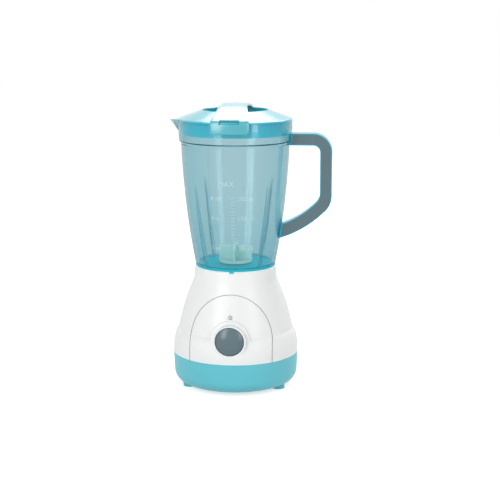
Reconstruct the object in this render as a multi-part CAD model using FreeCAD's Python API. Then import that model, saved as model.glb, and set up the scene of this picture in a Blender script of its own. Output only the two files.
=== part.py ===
import FreeCAD, Part
import math
import os

# A toy blender that runs on two AA cells. Millimetres, +Z up.
# The origin is on the spindle's axis at the height of the table. The button faces -Y and the handle +X.

V = FreeCAD.Vector
UP = V(0, 0, 1)

# Base: teal tray below, white bell above
TRAY_LOW = 2.6
TRAY_FLAT_R = 42.0
TRAY_ROUND = 10.0
TRAY_WALL = 2.2
SEAM_Z = 28.4
SEAM_R = 52.7
FOOT_X = 37.6
FOOT_Y = 17.5
FOOT_R = 5.2
PILLAR_TOP = 14.0

BELL_FOOT = (48.3, 48.8)
BELL_MID = (43.4, 68.5)
BELL_TOP = (35.9, 88.3)
COLLAR_RIM_Z = 101.6
SOCKET_R = 31.7
DECK_TOP = 92.6
DECK_LOW = 90.4

# Front panel: an arch with a half ellipse on top
ARCH_HALF = 34.0
ARCH_SPRING_Z = 43.0
ARCH_RISE = 40.6
SEAM_GAP = 0.4

# Button, its raised surround and the indicator above it
BUTTON_Z = 47.7
BUTTON_R = 11.6
BEZEL_IN = 12.0
BEZEL_OUT = 13.3
PAD_R = 16.0
PAD_FOOT_Z = 46.4
PAD_FILLET = 5.0
LAMP_Z = 66.0

# Drive train: pinion, compound idler, spindle gear
MODULE = 0.6
PINION_TEETH = 12
IDLER_LARGE = 32
IDLER_SMALL = 12
SPINDLE_TEETH = 34
BACKLASH = 0.14
SPINDLE_R = 1.5
IDLER_Y = MODULE * (IDLER_SMALL + SPINDLE_TEETH) / 2
MOTOR_ANGLE = 197.0
MOTOR_REACH = MODULE * (PINION_TEETH + IDLER_LARGE) / 2
MOTOR_X = MOTOR_REACH * math.cos(math.radians(MOTOR_ANGLE))
MOTOR_Y = IDLER_Y + MOTOR_REACH * math.sin(math.radians(MOTOR_ANGLE))
CASE_LOW = 64.0
CASE_FLOOR = 66.0
CASE_TOP = 79.0
COVER_TOP = 81.0
GEARBOX_EARS = ((15.6, -3.0), (-13.5, -8.0), (9.5, 25.8))

# Cells and their compartment
CELL_R = 7.2
CELL_HALF = 25.1
CELL_Y = 7.5
CELL_Z = 12.6
BOX_X = 28.8
BOX_Y = 15.5
BOX_TOP = 21.1
DOOR_TOP = 4.4
DOOR_HINGE_X = -27.0
DOOR_SCREW_X = 34.6

# Jug, handle and lid
JUG_FOOT_Z = 101.7
JUG_FLOOR = 103.4
JUG_STEP_Z = 204.3
JUG_RIM_Z = 223.0
JUG_RIM_R = 47.0
SPOUT_TIP = 54.6
RIB_TOP_Z = 172.0
HANDLE_HALF_Y = 6.0
HANDLE_HALF_W = 4.8
HANDLE_BORDER = 0.8
GRIP_DEPTH = 3.0
GRIP_SETBACK = 1.3
LID_EDGE_R = 46.95
PLATEAU_R = 27.5
PLATEAU_Z = 231.5
RECESS_FLOOR = 224.2
TAB_LOW = 215.2

# Paddle
PADDLE_R = 14.2
BLADE_TOP = 117.7
STEM_R = 3.0
COUPLING_R = 8.2


def turn_plane(a, b):
    return V(a, 0, b)


def side_plane(a, b):
    return V(0, a, b)


def flat_plane(a, b):
    return V(a, b, 0)


def wire(plane, start, *moves):
    """A closed wire. A point is the end of a straight edge, a pair of points the middle and end of an arc."""
    edges, here = [], start
    for move in moves:
        if isinstance(move[0], tuple):
            middle, end = move
            edges.append(Part.Arc(plane(*here), plane(*middle), plane(*end)).toShape())
        else:
            end = move
            edges.append(Part.makeLine(plane(*here), plane(*end)))
        here = end
    if math.dist(here, start) > 1e-6:
        edges.append(Part.makeLine(plane(*here), plane(*start)))
    return Part.Wire(edges)


def turned(start, *moves):
    """A solid of revolution about the spindle's axis, from its outline in radius and height."""
    return Part.Face(wire(turn_plane, start, *moves)).revolve(V(0, 0, 0), UP, 360)


def prism(outline, y_from, y_to):
    """A front-view outline run straight through from one Y to another."""
    face = Part.Face(outline)
    face.translate(V(0, y_from, 0))
    return face.extrude(V(0, y_to - y_from, 0))


def post(x, y, r, low, high):
    return Part.makeCylinder(r, high - low, V(x, y, low), UP)


def rod(x, z, r, y_from, y_to):
    """A round bar along Y."""
    return Part.makeCylinder(r, y_to - y_from, V(x, y_from, z), V(0, 1, 0))


def box(x0, x1, y0, y1, z0, z1):
    return Part.makeBox(x1 - x0, y1 - y0, z1 - z0, V(x0, y0, z0))


def round_arc(centre, r, middle_deg, end_deg):
    """The middle and end of an arc about a centre, for wire()."""
    def at(deg):
        return (centre[0] + r * math.cos(math.radians(deg)), centre[1] + r * math.sin(math.radians(deg)))
    return at(middle_deg), at(end_deg)


def four_feet():
    return [(sx * FOOT_X, sy * FOOT_Y) for sx in (-1, 1) for sy in (-1, 1)]


# Base shell outlines
def tray_outside():
    corner = (TRAY_FLAT_R, TRAY_LOW + TRAY_ROUND)
    return turned((0, TRAY_LOW), (TRAY_FLAT_R, TRAY_LOW), round_arc(corner, TRAY_ROUND, -45, 0),
                  (SEAM_R, SEAM_Z), (0, SEAM_Z))


def tray_hollow():
    corner = (TRAY_FLAT_R, TRAY_LOW + TRAY_ROUND)
    inner = TRAY_ROUND - TRAY_WALL
    return turned((0, TRAY_LOW + TRAY_WALL), (TRAY_FLAT_R, TRAY_LOW + TRAY_WALL),
                  round_arc(corner, inner, -45, 0), (SEAM_R - 2.0, SEAM_Z), (0, SEAM_Z))


def bell_outside():
    """The bell, its skirt and its collar as one full solid."""
    return turned((0, SEAM_Z), (SEAM_R, SEAM_Z), (SEAM_R, 31.0), ((52.25, 37.6), (51.0, 44.2)),
                  ((50.2, 46.2), BELL_FOOT), (BELL_MID, BELL_TOP), ((35.2, 90.0), (34.9, 92.0)),
                  (34.2, 99.6), ((33.7, 101.1), (32.9, COLLAR_RIM_Z)), (0, COLLAR_RIM_Z))


def bell_inside(grow=0.0):
    """The space inside the bell, up to the deck; grow takes it into the wall."""
    return turned((0, SEAM_Z), (50.5 + grow, SEAM_Z), (50.5 + grow, 31.0),
                  ((50.05 + grow, 37.0), (48.9 + grow, 43.4)), (46.1 + grow, 47.4),
                  ((41.15 + grow, 67.6), (33.4 + grow, 87.6)), (31.2 + grow, DECK_LOW), (0, DECK_LOW))


def arch(grow):
    """The front panel's outline: upright sides and half an ellipse."""
    half, rise, low = ARCH_HALF + grow, ARCH_RISE + grow, SEAM_Z - 3.0
    crown = Part.Ellipse(V(0, 0, ARCH_SPRING_Z + rise), V(half, 0, ARCH_SPRING_Z), V(0, 0, ARCH_SPRING_Z))
    top = Part.ArcOfEllipse(crown, -math.pi / 2, math.pi / 2).toShape()
    ends = sorted((v.Point for v in top.Vertexes), key=lambda p: p.x)
    left, right = V(ends[0].x, 0, low), V(ends[-1].x, 0, low)
    return Part.Wire(Part.__sortEdges__([top, Part.makeLine(ends[-1], right), Part.makeLine(right, left),
                                         Part.makeLine(left, ends[0])]))


def pad_outline():
    """The raised surround: a circle about the button that flows into the skirt's level edge."""
    centre_z = PAD_FOOT_Z + PAD_FILLET
    across = math.sqrt((PAD_R + PAD_FILLET) ** 2 - (centre_z - BUTTON_Z) ** 2)
    share = PAD_R / (PAD_R + PAD_FILLET)
    touch = (across * share, BUTTON_Z + (centre_z - BUTTON_Z) * share)
    middle, _ = round_arc((across, centre_z), PAD_FILLET, -130, 0)
    return wire(turn_plane, (-across, 42.0), (across, 42.0), (across, PAD_FOOT_Z), (middle, touch),
                ((0, BUTTON_Z + PAD_R), (-touch[0], touch[1])),
                ((-middle[0], middle[1]), (-across, PAD_FOOT_Z)))


# Teal tray with its feet, cell compartment and screw pillars
def base_tray():
    body = tray_outside()
    for x, y in four_feet():
        body = body.fuse(post(x, y, FOOT_R, 0, 8))
    body = body.cut(tray_hollow())
    for x, y in four_feet():
        body = body.fuse(post(x, y, 4.5, 4.6, PILLAR_TOP))
    walls = box(-BOX_X - 1.5, BOX_X + 1.5, -BOX_Y - 1.5, BOX_Y + 1.5, 4.0, BOX_TOP + 1.5)
    pad = box(BOX_X, 40.0, -6.0, 6.0, 4.0, 6.3).fuse(post(DOOR_SCREW_X, 0, 3.4, 4.0, 13.0))
    body = body.fuse(walls).fuse(pad)
    body = body.cut(box(-BOX_X, BOX_X, -BOX_Y, BOX_Y, 4.4, BOX_TOP))
    body = body.cut(box(-28.2, 28.3, -15.2, 15.2, 0, 5.0))
    body = body.cut(box(28.0, 38.8, -4.8, 4.8, 0, DOOR_TOP + 0.1))
    body = body.cut(post(DOOR_SCREW_X, 0, 1.3, 0, 11.0))
    for x, y in four_feet():
        body = body.cut(post(x, y, 3.4, -1, 9.0)).cut(post(x, y, 1.6, 8.0, PILLAR_TOP + 1))
    for y in (-8.0, 8.0):
        body = body.cut(box(-31.6, -28.0, y - 2.9, y + 2.9, 4.8, 8.8))
    return body


def battery_door():
    thick = DOOR_TOP - TRAY_LOW
    plate = box(DOOR_HINGE_X, 28.0, -14.9, 14.9, TRAY_LOW, DOOR_TOP)
    edge = Part.makeCylinder(thick / 2, 29.8, V(DOOR_HINGE_X, -14.9, TRAY_LOW + thick / 2), V(0, 1, 0))
    tab = box(27.0, 36.0, -4.4, 4.4, TRAY_LOW, DOOR_TOP).fuse(post(36.0 - 2.0, 0, 4.4, TRAY_LOW, DOOR_TOP))
    door = plate.fuse(edge).fuse(tab)
    for y in (-8.0, 8.0):
        door = door.fuse(box(-27.6, -25.7, y - 2.4, y + 2.4, 4.2, 5.9))
        door = door.fuse(box(-30.6, -25.7, y - 2.4, y + 2.4, 5.05, 5.9))
    for step in range(5):
        x = 14.0 + 2.2 * step
        door = door.cut(box(x, x + 1.0, -9.0, 9.0, TRAY_LOW - 1, TRAY_LOW + 0.5))
    return door.cut(post(DOOR_SCREW_X, 0, 1.5, 0, 6)).cut(post(DOOR_SCREW_X, 0, 2.6, 0, TRAY_LOW + 0.9))


def screw(x, y, head_low, shank_top, head_r=2.9, shank_r=1.25, head_high=1.6):
    """A pan-head screw driven upwards from below."""
    head = post(x, y, head_r, head_low, head_low + head_high)
    slot = box(x - head_r, x + head_r, y - 0.35, y + 0.35, head_low - 1, head_low + 0.7)
    tip = Part.makeCone(shank_r, 0.4, 1.4, V(x, y, shank_top - 1.4), UP)
    shank = post(x, y, shank_r, head_low + head_high, shank_top - 1.4)
    return head.cut(slot).fuse(shank).fuse(tip)


def battery_cells():
    cells = []
    for side in (-1, 1):
        y = side * CELL_Y
        def bar(r, a, b, y=y, side=side):
            return Part.makeCylinder(r, b - a, V(side * a, y, CELL_Z), V(side, 0, 0))
        can = bar(CELL_R, -CELL_HALF, CELL_HALF - 1.3)
        can = can.makeFillet(0.6, [e for e in can.Edges if e.Closed])
        cells.append(can.fuse(bar(2.7, CELL_HALF - 2.0, CELL_HALF)))
    return Part.makeCompound(cells)


def battery_contacts():
    """Bent strips: a bowed leaf behind each cell's flat end and a flat plate at its button end."""
    strips = []
    for side in (-1, 1):
        for end in (-1, 1):
            wall = end * (BOX_X - 0.1)
            y = side * CELL_Y
            plate = box(min(wall, wall - end * 0.4), max(wall, wall - end * 0.4), y - 4.5, y + 4.5, 7.6, 19.0)
            if end == -side:
                reach = wall - end * 0.4
                tip = end * (CELL_HALF + 0.1)
                leaf = wire(lambda a, b, y=y: V(a, y - 3.0, b), (reach, 8.2), ((tip, 12.6), (reach, 17.0)),
                            (reach, 16.5), ((tip + end * 0.4, 12.6), (reach, 8.7)))
                plate = plate.fuse(Part.Face(leaf).extrude(V(0, 6.0, 0)))
            else:
                reach = wall - end * 0.4
                start = min(reach, end * (CELL_HALF + 0.1))
                stub = Part.makeCylinder(2.4, abs(reach - end * (CELL_HALF + 0.1)), V(start, y, CELL_Z), V(1, 0, 0))
                plate = plate.fuse(stub)
            strips.append(plate)
    bridge = box(BOX_X - 0.5, BOX_X - 0.1, -CELL_Y, CELL_Y, 16.0, 18.5)
    joined = strips[1].fuse(bridge).fuse(strips[3])
    return Part.makeCompound([strips[0], strips[2], joined])


# White bell with its collar and deck
def body_shell():
    full = bell_outside()
    body = full.cut(bell_inside()).cut(post(0, 0, SOCKET_R, DECK_TOP, COLLAR_RIM_Z + 1))
    body = body.cut(prism(arch(SEAM_GAP / 2), -60, -18))
    # rebate lip behind the panel's edge
    lip = bell_inside(0.4).cut(bell_inside(-0.9))
    lip = lip.common(prism(arch(2.5), -60, -18).cut(prism(arch(-2.4), -60, -18)))
    lip = lip.common(box(-60, 60, -60, 0, 32.0, 86.5))
    tongue = turned((49.2, 25.2), (50.4, 25.2), (50.4, SEAM_Z), (50.9, SEAM_Z), (50.9, 31.4), (49.2, 30.4))
    body = body.fuse(lip).fuse(tongue)
    for x, y in four_feet():
        column = post(x, y, 3.8, PILLAR_TOP + 0.1, 82.0).common(full.fuse(post(0, 0, 50, 10, 40)))
        body = body.fuse(column)
    for x in (-1, 1):
        ear = box(min(26.5 * x, 40 * x), max(26.5 * x, 40 * x), -36.3, -34.3, 32.0, 42.0).common(full)
        body = body.fuse(ear)
    for x, y in GEARBOX_EARS:
        body = body.fuse(post(x, y, 3.0, COVER_TOP + 0.1, DECK_LOW + 1))
    for x, y in GEARBOX_EARS:
        body = body.cut(post(x, y, 1.0, COVER_TOP, DECK_LOW))
    for x, y in four_feet():
        body = body.cut(post(x, y, 1.3, PILLAR_TOP, 27.0))
    for x in (-30.0, 30.0):
        body = body.cut(rod(x, 37.0, 1.5, -38.0, -33.0)).cut(rod(x, 37.0, 3.3, -44.0, -36.3))
    body = body.cut(post(0, 0, 5.0, DECK_LOW - 1, DECK_TOP + 1))
    # notch that the jug's locating lug drops into
    return body.cut(box(-1.9, 1.9, -36.0, -31.0, COLLAR_RIM_Z - 1.4, COLLAR_RIM_Z + 1))


def front_panel():
    inset = arch(-SEAM_GAP / 2)
    low = box(-60, 60, -60, 0, SEAM_Z, 95)
    pad = turned((0, 42.0), (51.3, 42.0), (51.0, 44.6), ((49.7, 51.0), (46.3, 64.2)), (0, 64.2))
    pad = pad.common(prism(pad_outline(), -60, -20))
    rim = [e for e in pad.Edges if e.CenterOfMass.y < -45 and e.CenterOfMass.z > PAD_FOOT_Z + 0.2
           and e.BoundBox.YLength > 0.3]
    pad = pad.makeFillet(0.8, rim)
    body = bell_outside().common(prism(inset, -60, -20)).fuse(pad).common(low)
    body = body.fuse(rod(0, BUTTON_Z, BEZEL_OUT, -52.1, -44.2))
    rebate = bell_inside(0.7).cut(bell_inside(0)).cut(prism(arch(-2.9), -60, -10))
    inside = bell_inside()
    sleeve = rod(0, BUTTON_Z, BEZEL_OUT, -49.0, -44.2)
    body = body.cut(inside).cut(rebate).fuse(sleeve)
    body = body.cut(post(0, 0, 50.95, 20, 31.5))
    for x in (-30.0, 30.0):
        body = body.fuse(rod(x, 37.0, 2.9, -41.5, -36.4)).cut(rod(x, 37.0, 1.1, -40.5, -36.0))
    for x, z, root in ((-11.5, 34.5, -50.3), (11.5, 34.5, -50.3), (0, 73.5, -41.0)):
        body = body.fuse(rod(x, z, 2.4, root, -34.5)).cut(rod(x, z, 0.9, -42.0 if z < 50 else -38.5, -34.0))
    body = body.cut(rod(0, BUTTON_Z, BEZEL_IN, -60, -43)).cut(rod(0, LAMP_Z, 1.75, -60, -38))
    return body.cut(rod(0, BUTTON_Z, BEZEL_OUT, -44.2, -40.0))


def button_cap():
    """A domed cap that slides in the panel's sleeve and is held by its rear flange."""
    def plane(a, b):
        return V(a, b, BUTTON_Z)
    face = Part.Face(wire(plane, (0, -54.6), ((6.1, -53.8), (BUTTON_R - 0.5, -51.6)),
                          ((BUTTON_R - 0.1, -51.3), (BUTTON_R, -50.9)), (BUTTON_R, -43.9), (12.9, -43.9),
                          (12.9, -43.0), (10.0, -43.0), (10.0, -50.4), ((6.0, -51.7), (2.2, -52.3)),
                          (2.2, -45.05), (0, -45.05)))
    return face.revolve(V(0, 0, BUTTON_Z), V(0, 1, 0), 360)


def button_spring():
    """A compression spring round the cap's stem: half turns, each a piece of a torus tilted to climb."""
    half_turns, mean_r, wire_r = 10, 3.4, 0.3
    climb = 8.9 / half_turns
    halves = []
    for n in range(half_turns):
        side = 1 - 2 * (n % 2)
        start = V(side * mean_r, 0, n * climb)
        disc = Part.Face(Part.Wire(Part.makeCircle(wire_r, start, V(0, 1, 0))))
        halves.append(disc.revolve(V(0, 0, (n + 0.5) * climb), V(side * climb, 0, 2 * mean_r), 180))
    coil = halves[0].fuse(halves[1:])
    coil.rotate(V(0, 0, 0), V(1, 0, 0), -90)
    coil.translate(V(0, -51.1, BUTTON_Z))
    return coil


def control_board():
    board = box(-14.5, 14.5, -34.5, -32.9, 31.0, 76.5)
    for x, z in ((-11.5, 34.5), (11.5, 34.5), (0, 73.5)):
        board = board.cut(rod(x, z, 1.2, -36, -30))
    for x in (-3.0, 0.0, 3.0):
        board = board.fuse(rod(x, BUTTON_Z - 5.0, 0.7, -33.5, -32.0))
    for x in (-7.0, 7.0):
        board = board.fuse(box(x - 1.6, x + 1.6, -36.0, -34.4, 60.0, 62.0))
    return board


def power_switch():
    body = box(-4.0, 4.0, -41.9, -34.55, BUTTON_Z - 4.0, BUTTON_Z + 4.0)
    neck = rod(0, BUTTON_Z, 2.3, -42.1, -41.5)
    return body.fuse(neck).cut(rod(0, BUTTON_Z, 1.7, -43.0, -37.0))


def switch_plunger():
    return rod(0, BUTTON_Z, 1.6, -45.0, -39.6)


def indicator_lens():
    """A clear light guide from the board's lamp to the panel's front."""
    guide = rod(0, LAMP_Z, 1.6, -44.2, -36.4).fuse(rod(0, LAMP_Z, 2.6, -37.4, -36.4))
    dome = Part.makeSphere(1.9, V(0, -43.3, LAMP_Z)).common(rod(0, LAMP_Z, 1.6, -46, -43))
    lamp = rod(0, LAMP_Z, 1.5, -36.35, -34.55)
    return Part.makeCompound([guide.fuse(dome), lamp])


# Motor
def motor_can():
    can = post(MOTOR_X, MOTOR_Y, 10.0, 41.0, 63.9)
    can = can.common(box(MOTOR_X - 11, MOTOR_X + 11, MOTOR_Y - 7.6, MOTOR_Y + 7.6, 40, 65))
    can = can.fuse(post(MOTOR_X, MOTOR_Y, 3.0, 63.0, 65.4))
    can = can.cut(post(MOTOR_X, MOTOR_Y, 1.07, 40, 66))
    for side in (-1, 1):
        can = can.cut(box(MOTOR_X + side * 6.0 - 1.5, MOTOR_X + side * 6.0 + 1.5, MOTOR_Y - 8, MOTOR_Y - 7.0, 48, 54))
    return can


def motor_end_cap():
    cap = post(MOTOR_X, MOTOR_Y, 9.6, 38.6, 41.0)
    cap = cap.common(box(MOTOR_X - 11, MOTOR_X + 11, MOTOR_Y - 7.3, MOTOR_Y + 7.3, 38, 42))
    cap = cap.fuse(post(MOTOR_X, MOTOR_Y, 3.2, 37.4, 39.0)).cut(post(MOTOR_X, MOTOR_Y, 1.07, 37.8, 42))
    for side in (-1, 1):
        x = MOTOR_X + side * 6.5
        cap = cap.fuse(box(x - 1.1, x + 1.1, MOTOR_Y - 0.25, MOTOR_Y + 0.25, 34.8, 39.0))
    return cap


def motor_shaft():
    return post(MOTOR_X, MOTOR_Y, 1.0, 38.0, 72.8)


# Spur gears
def gear(teeth, centre, low, high, tooth_deg, bore):
    """A spur gear with one tooth at tooth_deg; each flank is an arc through three points of its involute."""
    pitch = MODULE * teeth / 2
    base = pitch * math.cos(math.radians(20))
    tip, root = pitch + 0.9 * MODULE, pitch - 1.25 * MODULE

    def involute(r):
        pressure = math.acos(min(1.0, base / r))
        return math.tan(pressure) - pressure

    def half_angle(r):
        at_pitch = math.pi / (2 * teeth) - BACKLASH / (2 * pitch)
        return at_pitch + involute(pitch) - involute(max(r, base))

    def at(r, turn):
        return (centre[0] + r * math.cos(turn), centre[1] + r * math.sin(turn))

    step = 2 * math.pi / teeth
    first = math.radians(tooth_deg)
    start = at(root, first - half_angle(root))
    moves = []
    for n in range(teeth):
        mid = first + n * step
        moves.append((at(pitch, mid - half_angle(pitch)), at(tip, mid - half_angle(tip))))
        moves.append(at(tip, mid + half_angle(tip)))
        moves.append((at(pitch, mid + half_angle(pitch)), at(root, mid + half_angle(root))))
        moves.append(at(root, mid + step - half_angle(root)))
    moves[-1] = start
    blank = Part.Face(wire(flat_plane, start, *moves))
    blank.translate(V(0, 0, low))
    return blank.extrude(V(0, 0, high - low)).cut(post(*centre, bore, low - 1, high + 1))


def motor_pinion():
    facing = MOTOR_ANGLE + 180.0
    return gear(PINION_TEETH, (MOTOR_X, MOTOR_Y), 67.6, 72.2, facing + 180.0 / PINION_TEETH, 1.01)


def idler_gear():
    centre = (0, IDLER_Y)
    large = gear(IDLER_LARGE, centre, 68.0, 71.2, MOTOR_ANGLE, 1.06)
    small = gear(IDLER_SMALL, centre, 71.2, 77.0, -90.0 + 180.0 / IDLER_SMALL, 1.06)
    groove = post(*centre, 7.6, 70.4, 71.3).cut(post(*centre, 4.8, 70.0, 72.0))
    return large.cut(groove).fuse(small)


def idler_axle():
    return post(0, IDLER_Y, 1.0, CASE_LOW + 0.4, COVER_TOP - 0.4)


def spindle_gear():
    wheel = gear(SPINDLE_TEETH, (0, 0), 72.4, 76.2, 90.0, SPINDLE_R + 0.01)
    ring = post(0, 0, 8.4, 75.2, 76.3).cut(post(0, 0, 4.0, 75, 77))
    hub = post(0, 0, 3.4, 76.0, 77.8).cut(post(0, 0, SPINDLE_R + 0.01, 75, 79))
    for n in range(6):
        turn = math.radians(60 * n + 30)
        ring = ring.cut(post(6.2 * math.cos(turn), 6.2 * math.sin(turn), 0.9, 75, 77))
    return wheel.cut(ring).fuse(hub)


def drive_spindle():
    return post(0, 0, SPINDLE_R, CASE_LOW + 0.5, 98.2)


def gearbox_outline(grow, low, high):
    """The case follows the three wheels: two overlapping discs, a web between them and the pinion's lobe."""
    lobe = (MOTOR_X, MOTOR_Y)
    body = post(0, 0, 12.0 + grow, low, high).fuse(post(0, IDLER_Y, 11.6 + grow, low, high))
    body = body.fuse(box(-11.6 - grow, 11.6 + grow, 0, IDLER_Y, low, high))
    return body.fuse(post(*lobe, 5.2 + grow, low, high))


def gearbox_case():
    body = gearbox_outline(1.4, CASE_LOW, CASE_TOP)
    for x, y in GEARBOX_EARS:
        body = body.fuse(post(x, y, 3.4, CASE_TOP - 3.0, CASE_TOP))
    body = body.cut(gearbox_outline(0, CASE_FLOOR, CASE_TOP + 1))
    body = body.fuse(post(0, 0, 3.6, CASE_FLOOR - 1, CASE_FLOOR + 1.6))
    body = body.fuse(post(0, IDLER_Y, 2.6, CASE_FLOOR - 1, CASE_FLOOR + 1.6))
    body = body.cut(post(0, 0, SPINDLE_R + 0.06, CASE_LOW + 0.3, 70))
    body = body.cut(post(0, IDLER_Y, 1.01, CASE_LOW + 0.3, 70)).cut(post(MOTOR_X, MOTOR_Y, 3.06, 60, 70))
    for x, y in GEARBOX_EARS:
        body = body.cut(post(x, y, 1.5, 70, CASE_TOP + 1))
    return body


def gearbox_cover():
    body = gearbox_outline(1.4, CASE_TOP, COVER_TOP)
    for x, y in GEARBOX_EARS:
        body = body.fuse(post(x, y, 3.4, CASE_TOP, COVER_TOP))
    body = body.fuse(post(0, 0, 4.2, COVER_TOP - 0.5, COVER_TOP + 2.0))
    body = body.cut(post(0, 0, SPINDLE_R + 0.06, 70, 90)).cut(post(0, IDLER_Y, 1.01, 70, COVER_TOP - 0.4))
    for x, y in GEARBOX_EARS:
        body = body.cut(post(x, y, 1.5, 70, 90))
    return body


def gearbox_screws():
    return Part.makeCompound([screw(x, y, 74.5, 88.0, head_r=2.1, shank_r=0.95, head_high=1.4)
                              for x, y in GEARBOX_EARS])


def spindle_bushing():
    bush = post(0, 0, 4.98, DECK_LOW, DECK_TOP).fuse(post(0, 0, 7.0, DECK_TOP, DECK_TOP + 0.8))
    return bush.cut(post(0, 0, SPINDLE_R + 0.06, 80, 100))


def cross(width, reach, low, high):
    """Two crossed bars with rounded tips."""
    bars = box(-reach, reach, -width / 2, width / 2, low, high)
    bars = bars.fuse(box(-width / 2, width / 2, -reach, reach, low, high))
    return bars.common(post(0, 0, reach, low, high))


def drive_dog():
    dog = cross(3.0, 6.2, 94.6, 98.4).fuse(post(0, 0, 3.6, DECK_TOP + 1.1, 96.0))
    return dog.cut(post(0, 0, SPINDLE_R + 0.01, 90, 98.0 + 0.25))


# Jug and what turns in it
def jug():
    outer = turned((0, JUG_FOOT_Z), (32.7, JUG_FOOT_Z), (33.3, JUG_FOOT_Z + 0.6),
                   ((41.1, 153.2), (44.85, JUG_STEP_Z)), ((45.3, 205.2), (46.3, 206.0)),
                   ((46.8, 212.0), (JUG_RIM_R, 217.0)), (JUG_RIM_R, JUG_RIM_Z), (0, JUG_RIM_Z))
    inner = turned((0, JUG_FLOOR), (28.4, JUG_FLOOR), ((30.5, 104.2), (31.4, 106.4)),
                   ((39.3, 154.0), (43.05, 203.6)), ((43.6, 205.3), (44.7, 206.8)),
                   (45.2, 212.0), (45.2, JUG_RIM_Z + 1), (0, JUG_RIM_Z + 1))
    tip, half, root = SPOUT_TIP, 13.0, 43.0
    def lip(grow, low_z, top_z):
        """A pointed spout narrowing to one point down the wall."""
        mouth = wire(lambda a, b: V(a, b, top_z), (-root, half + grow), (-tip + 1.8 - grow, 1.3),
                     ((-tip - grow, 0), (-tip + 1.8 - grow, -1.3)), (-root, -half - grow))
        return Part.makeLoft([Part.Vertex(V(-root, 0, low_z)), mouth], True)
    body = outer.fuse(lip(0.0, 207.5, JUG_RIM_Z))
    body = body.cut(inner).cut(lip(-2.0, 211.0, JUG_RIM_Z).fuse(
        prism_up(-root, -tip + 3.9, half - 2.2, JUG_RIM_Z - 0.2, JUG_RIM_Z + 1)))
    skirt = turned((29.7, 95.6), (31.3, 95.6), (31.3, JUG_FOOT_Z + 0.5), (29.7, JUG_FOOT_Z + 0.5))
    body = body.fuse(skirt).fuse(box(-1.5, 1.5, -33.3, -31.0, COLLAR_RIM_Z - 1.0, JUG_FOOT_Z + 0.6))
    for n in range(4):
        rib = wire(turn_plane, (28.0, JUG_FLOOR - 0.6), (32.0, JUG_FLOOR - 0.6), (32.4, 108.0),
                   ((38.2, 143.0), (41.9, RIB_TOP_Z)), (41.0, RIB_TOP_Z))
        rib = Part.Face(rib).extrude(V(0, 1.8, 0))
        rib.translate(V(0, -0.9, 0))
        rib.rotate(V(0, 0, 0), UP, 45 + 90 * n)
        body = body.fuse(rib)
    return body.cut(post(0, 0, 4.6, 100, 105))


def prism_up(x_root, x_tip, half, low, high):
    """A short upright wedge that clears the top of the spout's channel."""
    face = Part.Face(wire(lambda a, b: V(a, b, low), (x_root, half), (x_tip, 0.7), (x_tip, -0.7), (x_root, -half)))
    return face.extrude(V(0, 0, high - low))


def handle_outline(inset, root_high, root_low):
    """The handle in side view, with every edge moved in by inset; the roots are its ends on the jug."""
    w = HANDLE_HALF_W - inset
    top, right, bend = 207.7, 75.2, 10.6
    corner = (right - bend, top - bend)
    outer_r, inner_r = bend + w, bend - w
    return wire(turn_plane, (root_high, top + w), (corner[0], top + w), round_arc(corner, outer_r, 45, 0),
                (right + w, 162.5), ((78.6 - inset, 153.8), (73.6 - inset * 0.7, 147.4 + inset * 0.7)),
                ((57.8 - inset * 0.5, 134.9 + inset * 0.9),
                 (root_low, 125.9 + inset + (root_low - 37.6) * 0.34)),
                (root_low, 137.0 - inset + (root_low - 37.6) * 0.34),
                ((53.9 + inset * 0.5, 144.9 - inset * 0.9), (66.6 + inset * 0.7, 155.0 - inset * 0.7)),
                ((69.2 + inset, 158.4), (right - w, 162.5)), (right - w, corner[1]),
                round_arc(corner, inner_r, 45, 90), (root_high, top - w))


def jug_outside(grow):
    return turned((0, 100.0), (33.3 + grow, 100.0), (33.3 + grow, 102.3),
                  ((41.1 + grow, 153.2), (44.85 + grow, JUG_STEP_Z - grow)), ((45.3 + grow, 205.2), (46.3 + grow, 206.0)),
                  ((46.8 + grow, 212.0), (JUG_RIM_R + grow, 217.0)), (JUG_RIM_R + grow, 230), (0, 230))


def handle_frame():
    frame = prism(handle_outline(0, 40.0, 33.0), -HANDLE_HALF_Y, HANDLE_HALF_Y)
    frame = frame.cut(jug_outside(0.03))
    for face_y in (-HANDLE_HALF_Y, HANDLE_HALF_Y):
        inward = GRIP_DEPTH if face_y < 0 else -GRIP_DEPTH
        recess = prism(handle_outline(HANDLE_BORDER, 42.0, 35.0), face_y * 1.1, face_y + inward)
        frame = frame.cut(recess.cut(jug_outside(GRIP_SETBACK)))
    return frame


def handle_grip(side):
    """A grey inlay pressed into one face of the handle frame."""
    floor, face = side * (HANDLE_HALF_Y - GRIP_DEPTH), side * HANDLE_HALF_Y
    grip = prism(handle_outline(HANDLE_BORDER + 0.05, 42.0, 35.0), min(floor, face), max(floor, face))
    return grip.cut(jug_outside(GRIP_SETBACK + 0.05))


def jug_bushing():
    bush = post(0, 0, 4.58, JUG_FOOT_Z, JUG_FLOOR).fuse(post(0, 0, 6.2, JUG_FLOOR, JUG_FLOOR + 0.6))
    return bush.cut(post(0, 0, STEM_R + 0.06, 100, 110))


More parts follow.
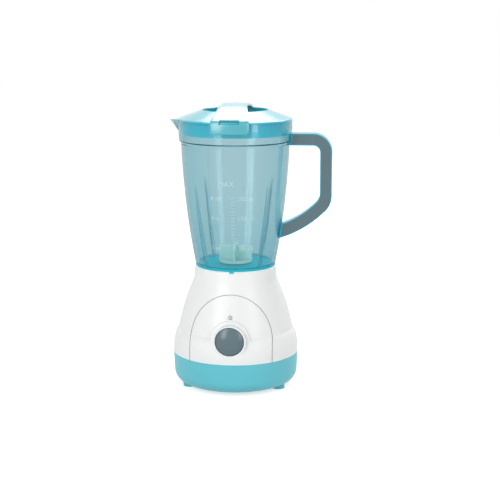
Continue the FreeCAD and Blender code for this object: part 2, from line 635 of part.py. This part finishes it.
def paddle():
    disc = turned((0, 104.3), (PADDLE_R - 0.4, 104.3), ((PADDLE_R, 105.0), (PADDLE_R - 0.3, 105.9)), (0, 105.9))
    blade = wire(turn_plane, (-0.5, 105.0), (PADDLE_R - 0.3, 105.0), (PADDLE_R - 0.3, 116.4),
                 ((PADDLE_R - 0.7, 117.3), (PADDLE_R - 1.6, BLADE_TOP)), (-0.5, BLADE_TOP))
    blade = Part.Face(blade).extrude(V(0, 1.6, 0))
    blade.translate(V(0, -0.8, 0))
    body = disc.fuse(post(0, 0, 1.7, 105, 117.9)).fuse(Part.makeSphere(1.7, V(0, 0, 117.9)))
    body = body.fuse(post(0, 0, STEM_R, 99.4, 105.0))
    for n in range(4):
        arm = blade.copy()
        arm.rotate(V(0, 0, 0), UP, 90 * n)
        body = body.fuse(arm)
    return body


def jug_coupling():
    body = post(0, 0, COUPLING_R, 94.2, 101.3)
    body = body.makeFillet(0.5, [e for e in body.Edges if e.Closed])
    body = body.cut(cross(4.2, 6.9, 93.0, 98.9)).cut(post(0, 0, 4.3, 93.0, 96.4))
    return body.cut(post(0, 0, STEM_R + 0.01, 99.35, 102))


# Lid
def lid_top(r):
    """Height of the lid's cone at radius r."""
    return PLATEAU_Z - (r - PLATEAU_R) * 7.0 / 19.0


def lid():
    edge = JUG_RIM_Z + 0.1
    return turned((0, RECESS_FLOOR), (24.6, RECESS_FLOOR), ((25.5, 224.7), (25.9, 225.6)), (27.0, 231.0),
                  ((27.4, 231.5), (28.2, 231.2)), (45.9, lid_top(45.9)), ((46.7, 224.3), (LID_EDGE_R, 223.8)),
                  (LID_EDGE_R, edge), (44.9, edge), (44.8, 212.0), (43.1, 212.0), (43.1, 222.9),
                  (29.0, 228.9), (27.7, 228.2), (26.6, 222.4), (0, 222.4))


def lid_strap():
    """A strap over the finger recess that turns down over the rim as a slotted tab."""
    over = turned((0, 236.7), (10.0, 236.4), (19.0, 235.2), (27.5, 233.2), (44.5, lid_top(44.5) + 1.9),
                  (47.6, 226.0), (49.2, 223.8), (49.6, 221.8), (49.7, 216.0), (49.0, TAB_LOW),
                  (47.9, TAB_LOW), (47.5, 223.6), (46.0, lid_top(46.0) + 0.1),
                  (28.3, lid_top(28.3) + 0.25), (25.6, 232.1), (17.0, 233.8), (9.0, 234.5), (0, 234.7))
    planform = Part.Face(wire(flat_plane, (-10.2, 0), (-11.3, -15.0), (-13.0, -30.0), (-15.0, -41.0),
                              (-15.8, -52.0), (15.8, -52.0), (15.0, -41.0), (13.0, -30.0), (11.3, -15.0),
                              (10.2, 0), (11.0, 15.0), (12.4, 30.2), (-12.4, 30.2), (-11.0, 15.0)))
    planform.translate(V(0, 0, 200))
    front = wire(turn_plane, (-16.5, 240), (-16.5, TAB_LOW + 3.4), (-15.4, TAB_LOW + 1.4), (-13.0, TAB_LOW),
                 (13.0, TAB_LOW), (15.4, TAB_LOW + 1.4), (16.5, TAB_LOW + 3.4), (16.5, 240))
    strap = over.common(planform.extrude(V(0, 0, 50))).common(prism(front, -60, 60))
    slot = box(-7.9, 7.9, -60, -44.5, 223.2, 226.6)
    return strap.cut(slot)


def all_parts():
    housing = Part.makeCompound([screw(x, y, 7.2, 26.0) for x, y in four_feet()])
    boards = []
    for x, z, tip in ((-11.5, 34.5, -41.0), (11.5, 34.5, -41.0), (0, 73.5, -38.2)):
        boards.append(rod(x, z, 2.0, -32.85, -31.4).fuse(rod(x, z, 0.85, tip, -32.85)))
    panels = [rod(x, 37.0, 2.6, -34.25, -32.7).fuse(rod(x, 37.0, 1.0, -40.0, -34.25)) for x in (-30.0, 30.0)]
    return {
        "base_tray": base_tray(),
        "battery_door": battery_door(),
        "battery_door_screw": screw(DOOR_SCREW_X, 0, TRAY_LOW + 0.1, 8.6, head_r=2.4, shank_r=0.95, head_high=0.75),
        "battery_cells": battery_cells(),
        "battery_contacts": battery_contacts(),
        "housing_screws": housing,
        "body_shell": body_shell(),
        "front_panel": front_panel(),
        "button_cap": button_cap(),
        "button_spring": button_spring(),
        "control_board": control_board(),
        "board_screws": Part.makeCompound(boards),
        "panel_screws": Part.makeCompound(panels),
        "power_switch": power_switch(),
        "switch_plunger": switch_plunger(),
        "indicator_lens": indicator_lens(),
        "motor_can": motor_can(),
        "motor_end_cap": motor_end_cap(),
        "motor_shaft": motor_shaft(),
        "motor_pinion": motor_pinion(),
        "idler_gear": idler_gear(),
        "idler_axle": idler_axle(),
        "spindle_gear": spindle_gear(),
        "drive_spindle": drive_spindle(),
        "gearbox_case": gearbox_case(),
        "gearbox_cover": gearbox_cover(),
        "gearbox_screws": gearbox_screws(),
        "spindle_bushing": spindle_bushing(),
        "drive_dog": drive_dog(),
        "jug": jug(),
        "jug_bushing": jug_bushing(),
        "handle_frame": handle_frame(),
        "handle_grip_front": handle_grip(-1),
        "handle_grip_rear": handle_grip(1),
        "paddle": paddle(),
        "jug_coupling": jug_coupling(),
        "lid": lid(),
        "lid_strap": lid_strap(),
    }


os.makedirs("parts", exist_ok=True)
for name, shape in all_parts().items():
    if not shape.isValid():
        print("not valid:", name)
    print(f"{name:20s} solids {len(shape.Solids)} volume {shape.Volume:9.1f} mm3")
    shape.exportStep(f"parts/{name}.step")
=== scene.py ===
import math

import bmesh
import bpy
from mathutils import Matrix, Vector


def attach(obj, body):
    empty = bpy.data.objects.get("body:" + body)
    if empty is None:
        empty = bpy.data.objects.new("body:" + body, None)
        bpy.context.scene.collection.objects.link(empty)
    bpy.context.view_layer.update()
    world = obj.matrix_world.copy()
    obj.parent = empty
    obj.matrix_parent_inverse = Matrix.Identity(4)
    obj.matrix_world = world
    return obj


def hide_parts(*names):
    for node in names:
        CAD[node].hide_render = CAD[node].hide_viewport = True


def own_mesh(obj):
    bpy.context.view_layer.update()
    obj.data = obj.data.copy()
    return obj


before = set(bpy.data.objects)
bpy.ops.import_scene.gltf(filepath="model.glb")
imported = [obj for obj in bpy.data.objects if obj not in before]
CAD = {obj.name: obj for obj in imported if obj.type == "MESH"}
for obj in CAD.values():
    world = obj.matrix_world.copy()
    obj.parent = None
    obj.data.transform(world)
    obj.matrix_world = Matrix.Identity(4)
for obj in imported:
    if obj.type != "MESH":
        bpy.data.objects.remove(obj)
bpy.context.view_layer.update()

MM = 0.001

# Camera
# The photograph was taken from a little to the right of the button and slightly above, with a long lens.
AZIMUTH = math.radians(5.2)
ELEVATION = math.radians(11.07)
DISTANCE = 1.0592
AIM_HEIGHT = 0.11365
AIM_RIGHT = 0.0121
LENS_MM = 90.8
SENSOR_MM = 36.0

right = Vector((math.cos(AZIMUTH), math.sin(AZIMUTH), 0))
back = Vector((math.sin(AZIMUTH) * math.cos(ELEVATION), -math.cos(AZIMUTH) * math.cos(ELEVATION),
               math.sin(ELEVATION)))
camera = bpy.data.objects.new("camera", bpy.data.cameras.new("camera"))
camera.data.lens = LENS_MM
camera.data.sensor_width = SENSOR_MM
camera.location = Vector((0, 0, AIM_HEIGHT)) + right * AIM_RIGHT + back * DISTANCE
camera.rotation_euler = back.to_track_quat("Z", "Y").to_euler()
bpy.context.scene.collection.objects.link(camera)
bpy.context.scene.camera = camera
bpy.context.scene.view_settings.view_transform = "Standard"


# Studio light
# Pale surroundings that fill the shadows, two standing soft boxes in front and one above and behind. The
# front ones give the button its two highlights and the jug its upright bands. The rear one whitens the
# lid.
WHITE = (1, 1, 1, 1)
FILL_STRENGTH = 0.46
SEEN_STRENGTH = 1.0
MIDDLE = (0, 0, 0.12)
LID_CENTRE = (0, 0, 0.22)


def add(tree, kind, inputs=None, **settings):
    """Adds one node, with its settings and with its inputs as values or as links."""
    made = tree.nodes.new(kind)
    for name, value in settings.items():
        setattr(made, name, value)
    for socket, value in (inputs or {}).items():
        named = [taker for taker in made.inputs if taker.name == socket and taker.enabled]
        taker = named[0] if named else made.inputs[socket]
        if isinstance(value, bpy.types.NodeSocket):
            tree.links.new(value, taker)
        else:
            taker.default_value = value
    return made


def ray_of(tree, *kinds):
    """A value that is 1 for a ray of any of these kinds."""
    path = add(tree, "ShaderNodeLightPath")
    found = path.outputs[kinds[0]]
    for kind in kinds[1:]:
        found = add(tree, "ShaderNodeMath", {0: found, 1: path.outputs[kind]}, operation="MAXIMUM").outputs[0]
    return found


def soft_box(name, place, target, size, watts):
    """A rectangular lamp that faces its target."""
    lamp = bpy.data.lights.new(name, "AREA")
    lamp.shape = "RECTANGLE"
    lamp.size, lamp.size_y = size
    lamp.energy = watts
    holder = bpy.data.objects.new(name, lamp)
    holder.location = place
    holder.rotation_euler = (Vector(place) - Vector(target)).to_track_quat("Z", "Y").to_euler()
    bpy.context.scene.collection.objects.link(holder)


world = bpy.data.worlds.new("studio")
bpy.context.scene.world = world
world.use_nodes = True
sky = world.node_tree
sky.nodes.clear()
strength = add(sky, "ShaderNodeMapRange", {
    "Value": ray_of(sky, "Is Camera Ray", "Is Glossy Ray", "Is Transmission Ray"),
    "To Min": FILL_STRENGTH, "To Max": SEEN_STRENGTH})
light = add(sky, "ShaderNodeBackground", {"Color": WHITE, "Strength": strength.outputs[0]})
add(sky, "ShaderNodeOutputWorld", {"Surface": light.outputs[0]})

soft_box("soft_box_left", (-0.62, -1.05, 0.66), MIDDLE, (0.46, 1.25), 8.0)
soft_box("soft_box_right", (0.85, -0.85, 0.60), MIDDLE, (0.30, 1.15), 3.8)
soft_box("soft_box_top", (0.22, 0.75, 1.15), LID_CENTRE, (1.25, 0.75), 12.5)


# Sweep
# White paper under the toy. It takes the toy's shadow and stays white to the camera. Glass sees it as an
# even white, and from below it isn't there, so that the underside can be looked at.
SWEEP_HALF = 4.0
PAPER = (0.82, 0.82, 0.82, 1)
PAPER_GLOW = 0.62
PAPER_THROUGH_GLASS = 0.86


def blank(name):
    """An empty node material, its tree and its output."""
    made = bpy.data.materials.new(name)
    made.use_nodes = True
    made.node_tree.nodes.clear()
    return made, made.node_tree, add(made.node_tree, "ShaderNodeOutputMaterial")


floor_mesh = bpy.data.meshes.new("floor")
shape = bmesh.new()
bmesh.ops.create_grid(shape, x_segments=1, y_segments=1, size=SWEEP_HALF)
shape.to_mesh(floor_mesh)
shape.free()
floor = bpy.data.objects.new("floor", floor_mesh)
bpy.context.scene.collection.objects.link(floor)

white_paper, tree, output = blank("white paper")
paper = add(tree, "ShaderNodeBsdfDiffuse", {"Color": PAPER})
glow = add(tree, "ShaderNodeEmission", {"Color": WHITE, "Strength": PAPER_GLOW})
lit = add(tree, "ShaderNodeAddShader", {0: paper.outputs[0], 1: glow.outputs[0]})
even = add(tree, "ShaderNodeEmission", {"Color": WHITE, "Strength": PAPER_THROUGH_GLASS})
direct = add(tree, "ShaderNodeMixShader", {0: ray_of(tree, "Is Camera Ray"), 1: paper.outputs[0],
                                           2: lit.outputs[0]})
top_side = add(tree, "ShaderNodeMixShader", {0: ray_of(tree, "Is Glossy Ray", "Is Transmission Ray"),
                                             1: direct.outputs[0], 2: even.outputs[0]})
side = add(tree, "ShaderNodeNewGeometry")
nothing = add(tree, "ShaderNodeBsdfTransparent")
one_way = add(tree, "ShaderNodeMixShader", {0: side.outputs["Backfacing"], 1: top_side.outputs[0],
                                            2: nothing.outputs[0]})
tree.links.new(one_way.outputs[0], output.inputs["Surface"])
floor.data.materials.append(white_paper)


# Base tray and battery door
# The teal band under the toy and the door in its underside. Both are injection-moulded ABS from one colour
# batch. The shell above is screwed down on the tray, and the door hooks in with two tongues.
PLASTIC_IOR = 1.52
COAT_ROUGHNESS = 0.22
SHRINKAGE_MM = 25.0
SHRINKAGE_SHADE = 0.03
ROUGHNESS_SPREAD = 0.12
GRAIN_DEPTH_MM = 0.004
GLOW_DEPTH_MM = 4.0
GLOSS_UNDER_WATERLINE = 0.15


def tinted(colour):
    """An sRGB hex colour as linear RGBA."""
    parts = [int(colour[i:i + 2], 16) / 255 for i in (1, 3, 5)]
    return tuple(c / 12.92 if c <= 0.04045 else ((c + 0.055) / 1.055) ** 2.4 for c in parts) + (1.0,)


def moulded(name, colour, roughness, grain_mm=0.5, coat=0.0, glow=0.0, below=None):
    """Injection-moulded plastic. The tool's polish gives the gloss, shrinkage a faint unevenness in shade and
    gloss, and the polymer's grain a fine relief. below is a height in mm and the colour under it."""
    made, tree, output = blank(name)
    place = add(tree, "ShaderNodeTexCoord")
    cloud = add(tree, "ShaderNodeTexNoise", {"Vector": place.outputs["Object"],
                                             "Scale": 1 / (SHRINKAGE_MM * MM), "Detail": 3.0})
    shade = add(tree, "ShaderNodeMapRange", {"Value": cloud.outputs["Fac"], "To Min": 1 - SHRINKAGE_SHADE,
                                             "To Max": 1 + SHRINKAGE_SHADE})
    base, gloss = tinted(colour)[:3], coat
    if below:
        height, deep_colour = below
        level = add(tree, "ShaderNodeSeparateXYZ", {"Vector": place.outputs["Object"]})
        lower = add(tree, "ShaderNodeMapRange", {"Value": level.outputs["Z"], "From Min": (height + 0.3) * MM,
                                                 "From Max": (height - 0.3) * MM})
        base = add(tree, "ShaderNodeMix", {"Factor": lower.outputs[0], "A": tinted(colour),
                                           "B": tinted(deep_colour)}, data_type="RGBA").outputs[2]
        gloss = add(tree, "ShaderNodeMath", {0: lower.outputs[0], 1: (GLOSS_UNDER_WATERLINE - 1) * coat,
                                             2: coat}, operation="MULTIPLY_ADD").outputs[0]
    tone = add(tree, "ShaderNodeVectorMath", {0: base, 1: shade.outputs[0]}, operation="MULTIPLY")
    grain = add(tree, "ShaderNodeTexNoise", {"Vector": place.outputs["Object"],
                                             "Scale": 1 / (grain_mm * MM), "Detail": 2.0})
    rough = add(tree, "ShaderNodeMapRange", {"Value": cloud.outputs["Fac"],
                                             "To Min": roughness * (1 - ROUGHNESS_SPREAD),
                                             "To Max": roughness * (1 + ROUGHNESS_SPREAD)})
    relief = add(tree, "ShaderNodeBump", {"Height": grain.outputs["Fac"], "Distance": GRAIN_DEPTH_MM * MM,
                                          "Strength": 0.6})
    skin = add(tree, "ShaderNodeBsdfPrincipled", {
        "Base Color": tone.outputs[0], "Roughness": rough.outputs[0], "Normal": relief.outputs[0],
        "IOR": PLASTIC_IOR, "Coat Weight": gloss, "Coat Roughness": COAT_ROUGHNESS,
        "Subsurface Weight": glow, "Subsurface Radius": (GLOW_DEPTH_MM * MM,) * 3, "Subsurface Scale": 1.0})
    tree.links.new(skin.outputs[0], output.inputs["Surface"])
    return made


def dress(names, material):
    """Gives CAD nodes their material."""
    for name in names:
        CAD[name].data.materials.clear()
        CAD[name].data.materials.append(material)


# Satin, so the tray shows a broad soft sheen and no sharp reflection.
teal_abs = moulded("teal ABS", "#5fc0cd", 0.34)
dress(["base_tray", "battery_door"], teal_abs)


# Cells and contacts
# Two AA cells side by side. Nickel plated steel strips stand at their ends: a bowed leaf behind each
# flat end and a plate with a stub at each button end.
def metal(name, colour, roughness, scratch_mm=0.3):
    """Bare metal, drawn or turned, so that its gloss runs in fine streaks."""
    made, tree, output = blank(name)
    place = add(tree, "ShaderNodeTexCoord")
    stretch = add(tree, "ShaderNodeMapping", {"Vector": place.outputs["Object"], "Scale": (1, 1, 0.08)})
    streak = add(tree, "ShaderNodeTexNoise", {"Vector": stretch.outputs[0], "Scale": 1 / (scratch_mm * MM)})
    rough = add(tree, "ShaderNodeMapRange", {"Value": streak.outputs["Fac"], "To Min": roughness * 0.7,
                                             "To Max": roughness * 1.3})
    skin = add(tree, "ShaderNodeBsdfPrincipled", {"Base Color": tinted(colour), "Metallic": 1.0,
                                                  "Roughness": rough.outputs[0]})
    tree.links.new(skin.outputs[0], output.inputs["Surface"])
    return made


# The sleeve is glossy dark film, and the strips are warm and bright.
dress(["battery_cells"], moulded("printed PVC sleeve", "#3a3f45", 0.3, coat=0.5))
dress(["battery_contacts"], metal("nickel plated steel", "#cfcbbf", 0.25))


# Motor and gear train
# A stamped motor can with a brass pinion drives a nylon idler and a nylon wheel on the spindle. The axle
# and the spindle are ground steel rods in a grey ABS case. The dog on top is black acetal.
# Streaked bright steel, yellow brass, waxy pale nylon and satin black acetal tell the pieces apart.
ground_steel = metal("ground steel", "#b9bcc0", 0.28)
zinc_plate = metal("zinc plated steel", "#c4c7c6", 0.34)
turned_brass = metal("turned brass", "#c3a25c", 0.28)
natural_nylon = moulded("natural nylon", "#efe9d8", 0.45, glow=0.3)
black_acetal = moulded("black acetal", "#25282b", 0.35)
grey_case = moulded("grey ABS gearbox", "#8f979b", 0.4)
dress(["motor_shaft", "idler_axle", "drive_spindle"], ground_steel)
dress(["motor_can", "battery_door_screw", "housing_screws", "panel_screws", "board_screws",
       "gearbox_screws"], zinc_plate)
dress(["motor_pinion"], turned_brass)
dress(["idler_gear", "spindle_gear", "switch_plunger"], natural_nylon)
dress(["drive_dog", "spindle_bushing"], black_acetal)
dress(["gearbox_case", "gearbox_cover"], grey_case)


# Control board and switch
# A small board behind the button, held by three screws, with a push switch on its face. The solder mask
# is a glossy green lacquer. The switch and the motor's end cap are black.
dress(["motor_end_cap", "power_switch"], black_acetal)
dress(["control_board"], moulded("green solder mask", "#1d5c3b", 0.25, coat=0.4))


# Body shell and front panel
# The white bell and the arched panel let into its front. Both are ABS from a polished tool, and screws from
# inside hold the panel.
# Slightly translucent, so its edges don't go hard.
white_abs = moulded("white ABS", "#ebecec", 0.34, glow=0.1)
dress(["body_shell", "front_panel"], white_abs)


# Button, its spring and the indicator
# A domed grey ABS button in the round surround, a steel coil behind it that pushes it out, and a small
# clear styrene window above.
MERGE = 0.002 * MM


def merged_copy(node):
    """A CAD node's mesh with its loose triangles joined."""
    shape = bmesh.new()
    shape.from_mesh(CAD[node].data)
    bmesh.ops.remove_doubles(shape, verts=shape.verts[:], dist=MERGE)
    return shape


def as_piece(name, shape, body, material, smooth_deg):
    """Turns a finished bmesh into a named piece that rides on a body."""
    mesh = bpy.data.meshes.new(name)
    shape.to_mesh(mesh)
    shape.free()
    piece = bpy.data.objects.new(name, mesh)
    bpy.context.scene.collection.objects.link(piece)
    mesh.materials.append(material)
    mesh.shade_smooth()
    mesh.set_sharp_from_angle(angle=math.radians(smooth_deg))
    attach(piece, body)
    return piece


# A polished dome, so that both front soft boxes show in it.
dress(["button_cap"], moulded("grey ABS", "#5a7077", 0.24))
dress(["indicator_lens"], moulded("clear styrene", "#c6c4c1", 0.4, coat=0.2))

shape = merged_copy("button_spring")
coil = as_piece("button_coil", shape, "base", ground_steel, smooth_deg=60)
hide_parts("button_spring")
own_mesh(coil)


# Jug
# One moulding of dyed styrene-acrylonitrile, as clear as glass, with the bushing pressed into its floor.
# The dye is in the plastic, so thick places and the wall's edges go deep teal.
JUG_FLOOR_MM = 103.4
JUG_IOR = 1.5
JUG_ROUGHNESS = 0.07
WALL_TINT = (0.94, 0.935, 0.935, 1)
EDGE_TINT = (0.60, 0.86, 0.885, 1)
DYE = (0.03, 0.57, 0.69, 1)
DYE_DENSITY = 175.0
DYE_DENSITY_TO_LAMPS = 30.0
WALL_MILK_AND_GLOW = 0.05
FLOOR_MILK_AND_GLOW = 0.8
# Strength of the painted glow, a teal emission in the jug's floor and walls.
PAINTED_GLOW_STRENGTH = 0.13

clear_san, tree, output = blank("teal SAN clear")
slant = add(tree, "ShaderNodeLayerWeight", {"Blend": 0.35})
tint = add(tree, "ShaderNodeMix", {"Factor": slant.outputs["Facing"], "A": WALL_TINT, "B": EDGE_TINT},
           data_type="RGBA")
clear = add(tree, "ShaderNodeBsdfPrincipled", {"Base Color": tint.outputs[2], "Roughness": JUG_ROUGHNESS,
                                              "IOR": JUG_IOR, "Transmission Weight": 1.0})
# The floor is made milky, a diffuse teal, and is brightened by a painted glow, an emission that no lamp
# gives. The walls get a little of both.
place = add(tree, "ShaderNodeTexCoord")
level = add(tree, "ShaderNodeSeparateXYZ", {"Vector": place.outputs["Object"]})
in_floor = add(tree, "ShaderNodeMapRange", {
    "Value": level.outputs["Z"], "From Min": (JUG_FLOOR_MM + 0.9) * MM, "From Max": (JUG_FLOOR_MM + 0.1) * MM,
    "To Min": WALL_MILK_AND_GLOW, "To Max": FLOOR_MILK_AND_GLOW})
milk = add(tree, "ShaderNodeBsdfDiffuse", {"Color": tinted("#27b4c1")})
# Painted glow: a teal emission that stands in for light, strongest in the floor.
painted_glow = add(tree, "ShaderNodeEmission", {"Color": tinted("#10b7c8"), "Strength": PAINTED_GLOW_STRENGTH})
milk_and_painted_glow = add(tree, "ShaderNodeAddShader", {0: milk.outputs[0], 1: painted_glow.outputs[0]})
cloudy_with_painted_glow = add(tree, "ShaderNodeMixShader", {0: in_floor.outputs[0], 1: clear.outputs[0],
                                           2: milk_and_painted_glow.outputs[0]})
# Lamp light passes straight through, because the solver finds no caustics.
open_way = add(tree, "ShaderNodeBsdfTransparent", {"Color": (0.93, 0.97, 0.98, 1)})
to_lamps = ray_of(tree, "Is Shadow Ray", "Is Diffuse Ray")
wall = add(tree, "ShaderNodeMixShader", {0: to_lamps, 1: cloudy_with_painted_glow.outputs[0], 2: open_way.outputs[0]})
density = add(tree, "ShaderNodeMapRange", {"Value": to_lamps, "To Min": DYE_DENSITY,
                                           "To Max": DYE_DENSITY_TO_LAMPS})
dye = add(tree, "ShaderNodeVolumeAbsorption", {"Color": DYE, "Density": density.outputs[0]})
tree.links.new(wall.outputs[0], output.inputs["Surface"])
tree.links.new(dye.outputs[0], output.inputs["Volume"])
dress(["jug"], clear_san)
dress(["jug_bushing"], natural_nylon)


# Graduations
# Low ribs of the jug's own plastic, raised and etched in the mould: a scale of short bars and plain
# figures. They follow the round and the slope of the front wall.
WALL_LOW = (33.3, 102.3)
WALL_MIDDLE = (41.1, 153.2)
WALL_HIGH = (44.85, 204.3)
RELIEF_MM = 0.22
SUNK_MM = 0.1
BARS = 16
LONG_BARS = (0, 9, 15)
BAR_STEP = 2.75
LOWEST_BAR = 122.4
SCALE_X = 2.0
CAP_SHARE = 0.72
ROWS = (("50 ml", "2 oz", 122.4), ("150 ml", "5 oz", 147.2), ("250 ml", "8 oz", 163.6))


def wall_radius(z):
    """Radius of the jug's outer wall at a height in millimetres, a parabola through three of its points."""
    t = (z - WALL_LOW[1]) / (WALL_HIGH[1] - WALL_LOW[1])
    bow = WALL_MIDDLE[0] - (WALL_LOW[0] + WALL_HIGH[0]) / 2
    return WALL_LOW[0] + (WALL_HIGH[0] - WALL_LOW[0]) * t + 4 * bow * t * (1 - t)


def wrap_on_wall(shape):
    """Lays flat shapes, drawn in x and z millimetres, on the wall as a raised relief."""
    ring = bmesh.ops.extrude_face_region(shape, geom=shape.faces[:])
    top = {v for v in ring["geom"] if isinstance(v, bmesh.types.BMVert)}
    for vert in shape.verts:
        radius = wall_radius(vert.co.z) + (RELIEF_MM if vert in top else -SUNK_MM)
        turn = vert.co.x / radius
        vert.co = Vector((radius * math.sin(turn), -radius * math.cos(turn), vert.co.z)) * MM
    bmesh.ops.recalc_face_normals(shape, faces=shape.faces[:])


def words(text, x, z, height, shape):
    """Adds a line of plain figures to a bmesh, centred on x and z in millimetres."""
    line = bpy.data.curves.new("figures", "FONT")
    line.body = text
    line.size = height / CAP_SHARE
    line.align_x = "CENTER"
    line.resolution_u = 3
    holder = bpy.data.objects.new("figures", line)
    bpy.context.scene.collection.objects.link(holder)
    flat = bpy.data.meshes.new_from_object(holder.evaluated_get(bpy.context.evaluated_depsgraph_get()))
    flat.transform(Matrix.Translation((x, 0, z - height / 2)) @ Matrix.Rotation(math.pi / 2, 4, "X"))
    shape.from_mesh(flat)
    bpy.data.meshes.remove(flat)
    bpy.data.objects.remove(holder)
    bpy.data.curves.remove(line)


marks = bmesh.new()
for step in range(BARS):
    bar = bmesh.ops.create_grid(marks, x_segments=3, y_segments=1, size=0.5)["verts"]
    bmesh.ops.rotate(marks, verts=bar, cent=(0, 0, 0), matrix=Matrix.Rotation(math.pi / 2, 3, "X"))
    bmesh.ops.scale(marks, verts=bar, vec=(3.4 if step in LONG_BARS else 2.6, 1, 0.45))
    bmesh.ops.translate(marks, verts=bar, vec=(SCALE_X, 0, LOWEST_BAR + BAR_STEP * step))
for millilitres, ounces, height in ROWS:
    words(millilitres, 12.6, height, 3.8, marks)
for millilitres, ounces, height in ROWS:
    words(ounces, -12.4, height, 3.3, marks)
words("MAX", -3.2, 175.5, 4.4, marks)
bmesh.ops.remove_doubles(marks, verts=marks.verts[:], dist=0.001)
wrap_on_wall(marks)

# The etched faces scatter light, so the marks read a shade paler than the clear wall.
etched_san, tree, output = blank("etched SAN")
frost = add(tree, "ShaderNodeBsdfPrincipled", {"Base Color": tinted("#d5e8ea"), "Roughness": 0.5,
                                              "Alpha": 0.42})
tree.links.new(frost.outputs[0], output.inputs["Surface"])
as_piece("jug_graduations", marks, "jug", etched_san, smooth_deg=35)


# Handle
# A teal frame glued to the jug, with a grey rubbery inlay pressed into a recess on each side. The frame is
# polished and shows as a bright line round the dull inlays.
grey_tpe = moulded("grey TPE", "#566c73", 0.42, grain_mm=0.3)
dress(["handle_grip_front", "handle_grip_rear"], grey_tpe)
dress(["handle_frame"], moulded("teal SAN", "#089db4", 0.2))


# Paddle and coupling
# Four thin blades on a round foot, on a stem that runs through the jug's floor into the coupling below.
# Both are pale mint ABS, slightly translucent.
mint_abs = moulded("mint ABS", "#d3e9e0", 0.32, glow=0.2)
dress(["paddle", "jug_coupling"], mint_abs)


# Lid
# A domed polypropylene cap with a sunk recess for fingers and a skirt inside the jug's rim. The dome is
# frosted and shines broadly. The skirt is deeper in colour, seen through the jug's wall, and less glossy.
SKIRT_TOP_MM = 223.4
lid_teal = moulded("teal PP", "#2bb0c0", 0.28, coat=1.0, glow=0.3, below=(SKIRT_TOP_MM, "#06c0d4"))
dress(["lid"], lid_teal)


# Lid strap
# The strap over the recess, which turns down over the rim as a slotted tab. It is moulded apart in a
# paler teal and clipped to the lid, and its edges are rounded to the touch.
STRAP_ROUNDING = 0.6 * MM
FLAT_WITHIN = math.radians(1.5)
SHARP_OVER = math.radians(30)

shape = merged_copy("lid_strap")
bmesh.ops.dissolve_limit(shape, angle_limit=FLAT_WITHIN, verts=shape.verts[:], edges=shape.edges[:])
edges = [e for e in shape.edges if len(e.link_faces) == 2 and e.calc_face_angle() > SHARP_OVER]
bmesh.ops.bevel(shape, geom=edges, offset=STRAP_ROUNDING, segments=3, profile=0.5, affect="EDGES",
                clamp_overlap=True, material=-1)
strap_teal = moulded("teal PP strap", "#45acb9", 0.28, coat=1.0, glow=0.3)
strap = as_piece("lid_strap_rounded", shape, "lid", strap_teal, smooth_deg=40)
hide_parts("lid_strap")
